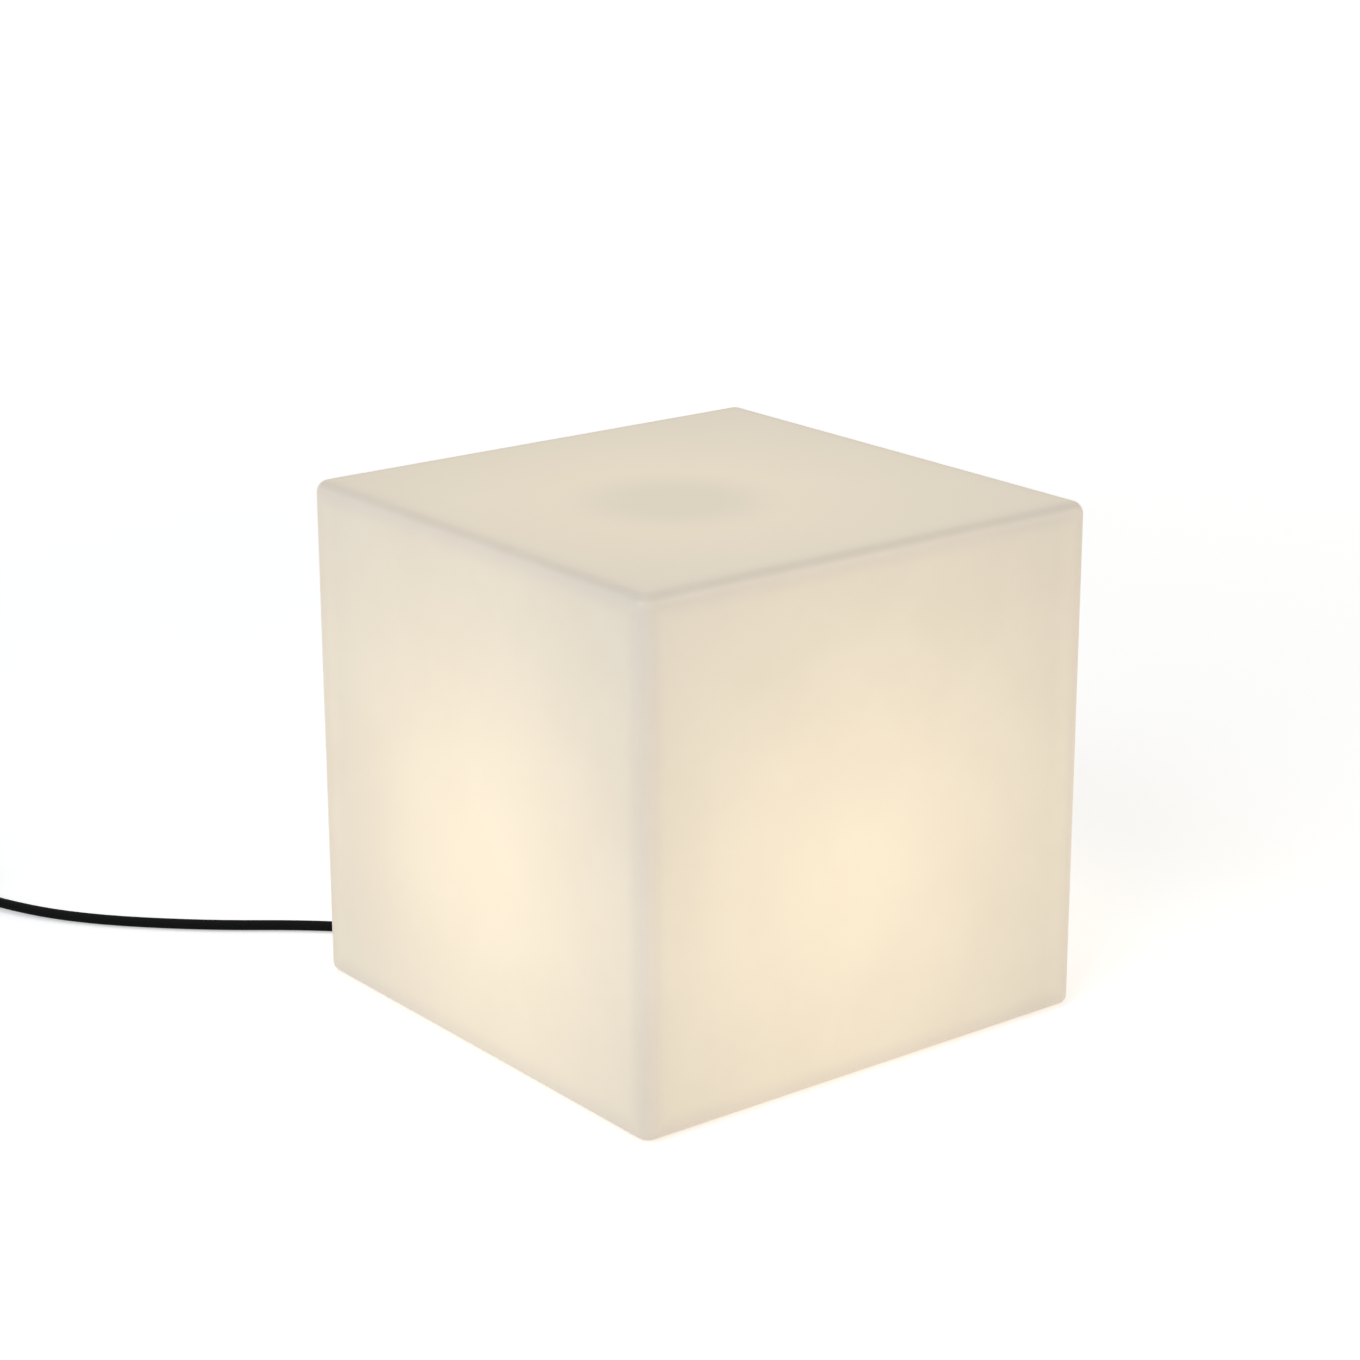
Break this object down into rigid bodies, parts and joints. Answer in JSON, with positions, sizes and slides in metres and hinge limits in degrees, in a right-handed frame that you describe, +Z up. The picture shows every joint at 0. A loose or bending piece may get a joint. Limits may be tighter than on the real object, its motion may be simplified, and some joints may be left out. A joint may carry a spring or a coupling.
{
  "type": "cube light",
  "caption": "Outdoor cube light: a translucent glowing box over a screw-in bulb on a plug-in base, with a black mains cord.",
  "frame": {"origin": "on the floor under the middle of the cube", "axes": "+Z up; -Y is the side at the right in the picture, -X the side at its left; the cord leaves under the +Y side"},
  "size_m": [0.5193, 0.5961, 0.29],
  "materials": {
    "shell": "translucent warm-white, satin",
    "foot_rubber": "matt",
    "brass": "satin",
    "base_plastic": "matt",
    "gasket": "matt",
    "steel": "zinc plated",
    "holder_plastic": "satin",
    "ceramic": "glazed",
    "gland_plastic": "satin",
    "wire_brown": "satin",
    "wire_blue": "satin",
    "cord_rubber": "matt",
    "tie": "matt",
    "plug_rubber": "matt",
    "pin_metal": "nickel plated",
    "bulb_glass": "clear",
    "stem_glass": "clear",
    "filament": "phosphor coated",
    "lead_metal": "bare",
    "cap_metal": "nickel plated",
    "cap_glass": "glossy",
    "solder": "tinned",
    "board": "satin"
  },
  "bodies": {
    "base": {"base_plate": "base_plastic", "base_gasket": "gasket", "plate_screws": "steel", "base_feet": "foot_rubber", "holder_strap": "steel", "strap_screws": "steel", "nipple": "steel", "nipple_nut": "steel", "lampholder_cap": "holder_plastic", "lampholder_barrel": "holder_plastic", "contact_block": "ceramic", "terminal_screws": "brass", "centre_contact": "brass", "screw_sleeve": "brass", "gland_body": "gland_plastic", "gland_locknut": "gland_plastic", "gland_seal": "gasket", "gland_nut": "gland_plastic", "wire_live": "wire_brown", "wire_neutral": "wire_blue", "cord_run": "cord_rubber", "cord_coil": "cord_rubber", "cord_tail": "cord_rubber", "coil_tie": "tie", "plug_relief": "plug_rubber", "plug_body": "plug_rubber", "plug_pins": "pin_metal"},
    "cube": {"shell": "shell", "shell_feet": "foot_rubber", "threaded_inserts": "brass"},
    "bulb": {"bulb_glass": "bulb_glass", "bulb_stem": "stem_glass", "led_filaments": "filament", "filament_leads": "lead_metal", "bulb_cap": "cap_metal", "cap_insulator": "cap_glass", "cap_contact": "solder", "driver_board": "board"}
  },
  "joints": [
    {"name": "cube_lift", "type": "slide", "parent": "base", "child": "cube", "axis": [0, 0, 1], "range_m": [0, 0.17]},
    {"name": "bulb_unscrew", "type": "hinge", "parent": "base", "child": "bulb", "pos_m": [0, 0, 0.058], "axis": [0, 0, 1], "range_deg": [0, 1530]}
  ]
}
